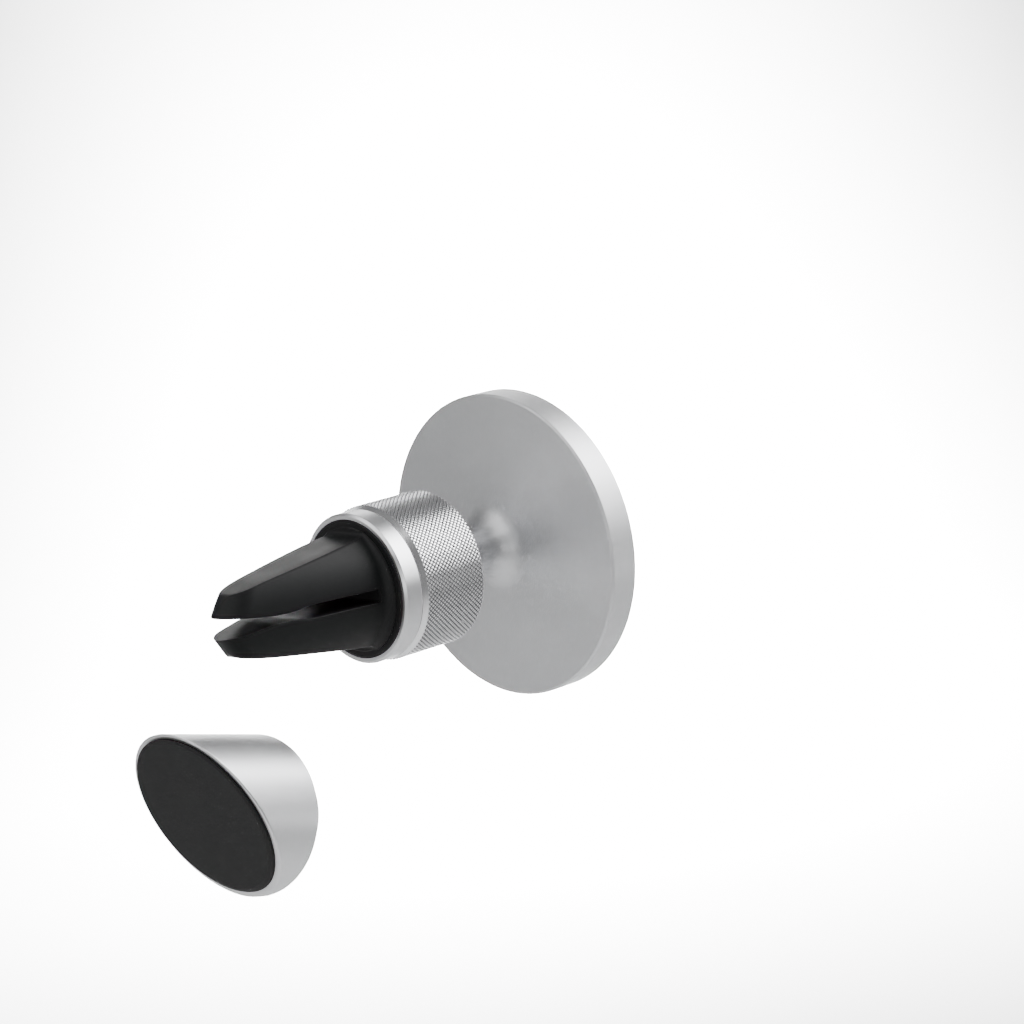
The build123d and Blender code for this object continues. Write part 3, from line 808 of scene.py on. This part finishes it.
insert_r, insert_front, insert_back = extent("socket_insert")
cup_r, _, cup_back = extent("seat_cup")
NECK_LENGTH = 4.2
SPIGOT_R = 9.6
SPIGOT_LENGTH = 2.9
BOSS_R = 7.6
PITCH = 1.0
THREAD_DEPTH = 0.4
THREAD_STEPS = 48
THREAD_ROUND = 128
FLANK_SLOPE = 1.35
RUN_OUT = 0.5
LEAD_IN = 0.4
LEAD_DROP = 0.35
CUSHION = 0.5
SAME_RADIUS = 0.01
flange = insert_front + NECK_LENGTH
floor_top = cup_back + CUSHION


def socket_mesh():
    """The insert, with its thread cut as a helix into the neck. The thread fades out at the flange, and
    the neck is chamfered where the collar starts on it."""
    outline = [(cup_r + FIT, insert_front, 0.0)]
    for step in range(THREAD_STEPS + 1):
        outline.append((insert_r, insert_front + NECK_LENGTH * step / THREAD_STEPS, 0.0))
    outline += [(SPIGOT_R, flange, 0.0), (SPIGOT_R, flange + SPIGOT_LENGTH, 0.0),
                (BOSS_R, flange + SPIGOT_LENGTH, 0.0), (BOSS_R, insert_back, 0.0),
                (0.0, insert_back, 0.0), (0.0, floor_top, 0.0), (cup_r + FIT, floor_top, 0.0)]
    made = lathe(outline, segments=THREAD_ROUND)
    for point in made.verts:
        x, y, z = point.co / MM
        radius = math.hypot(x, z)
        if radius < insert_r - SAME_RADIUS:
            continue
        start = -y - insert_front
        phase = (start / PITCH - math.atan2(z, x) / (2 * math.pi)) % 1.0
        flank = max(0.0, 1 - abs(2 * phase - 1) * FLANK_SLOPE)
        fade = min(1.0, (NECK_LENGTH - start) / RUN_OUT)
        lead = LEAD_DROP * max(0.0, 1 - start / LEAD_IN)
        shrink = (radius - THREAD_DEPTH * flank * max(0.0, fade) - lead) / radius
        point.co.x *= shrink
        point.co.z *= shrink
    return made


piece("clip_socket", socket_mesh(), moulded, "clip", "socket_insert", sharp=50)


# ---- Dash base -----------------------------------------------------------------------------------------
# The second base lies loose beside the clip: a round aluminium bar cut off at a slant, bored for the
# socket at its round end, with a black foam pad set into the slanted face and standing a little proud.

DASH_CENTRE = Vector((9.4, -78.7, -30.8)) * MM
DASH_YAW = math.radians(8.5)
DASH_PITCH = math.radians(15.5)
DASH_SLANT = math.radians(38.6)
DASH_LENGTH = 12.6
PAD_RECESS = 0.9
PAD_PROUD = 0.7
PAD_LIP = 0.9
LIP_EASE = 0.4
LIP_BREAK = 0.1
ROUND_END_EASE = 0.2
SCREW_ROOM = 1.25
PAD_SIDE = 0.35
PAD_CROWN = 0.5
PAD_EASE = 0.2
dash_place = (Matrix.Translation(DASH_CENTRE) @ Matrix.Rotation(DASH_YAW, 4, "Z")
              @ Matrix.Rotation(-DASH_PITCH, 4, "X") @ Matrix.Translation(Vector((0, flange * MM, 0))))
slope = math.tan(DASH_SLANT)
long_way = flange + DASH_LENGTH
sunk = PAD_RECESS / math.cos(DASH_SLANT)
proud = PAD_PROUD / math.cos(DASH_SLANT)
wedge_outline = [
    corner(SPIGOT_R + FIT, flange),
    corner(ring_r, flange, ROUND_END_EASE),
    corner(ring_r, long_way, LIP_EASE, 1.0),
    corner(ring_r - PAD_LIP, long_way, LIP_BREAK, 1.0),
    corner(ring_r - PAD_LIP, long_way - sunk, 0.0, 1.0),
    corner(0, long_way - sunk, 0.0, 1.0),
    corner(0, flange + SPIGOT_LENGTH + SCREW_ROOM),
    corner(BOSS_R + FIT, flange + SPIGOT_LENGTH + SCREW_ROOM),
    corner(BOSS_R + FIT, flange + SPIGOT_LENGTH + FIT),
    corner(SPIGOT_R + FIT, flange + SPIGOT_LENGTH + FIT),
]
wedge_made = lathe(eased(wedge_outline), slope=slope)
wedge_made.transform(dash_place)
back_home = dash_place.inverted()
wedge_finish = turned_aluminium("turned_aluminium_dash", 0.10 * MM, 0.0006, rough=0.38,
                                location=back_home.translation, rotation=back_home.to_euler())
piece("dash_wedge", wedge_made, wedge_finish, "dash_base", "dash_base_shell")

PORE = 0.22 * MM
PORE_DEPTH = 0.02 * MM
FOAM_CLOUD = 3 * MM
foam = Paint("foam_pad", Base_Color=(0.012, 0.012, 0.0125, 1), Roughness=0.8, Specular_IOR_Level=0.3)
pores = foam.node("ShaderNodeTexVoronoi", "Distance", Vector=foam.place(), Scale=1 / PORE)
cloud = foam.noise(foam.place(), FOAM_CLOUD)
shade = cloud * 0.6 + pores * 0.4
foam.feed("Base Color", foam.between(shade, (0.009, 0.009, 0.0095), (0.015, 0.015, 0.0155)))
foam.feed("Roughness", cloud * 0.15 + 0.7)
foam.bump(pores, PORE_DEPTH)
pad_edge = ring_r - PAD_LIP - FIT
pad_outline = [
    corner(0, long_way - sunk, 0.0, 1.0),
    corner(pad_edge, long_way - sunk, 0.0, 1.0),
    corner(pad_edge, long_way + proud - PAD_SIDE, LIP_BREAK, 1.0),
    corner(pad_edge - PAD_CROWN, long_way + proud, PAD_EASE, 1.0),
    corner(0, long_way + proud, 0.0, 1.0),
]
pad_made = lathe(eased(pad_outline), slope=slope)
pad_made.transform(dash_place)
piece("dash_foam_pad", pad_made, foam, "dash_base", "dash_pad")

insert_made = socket_mesh()
insert_made.transform(dash_place)
piece("dash_socket", insert_made, moulded, "dash_base", "dash_socket_insert", sharp=50)


# ---- Finish --------------------------------------------------------------------------------------------
# The scene is brought up to date.

bpy.context.view_layer.update()
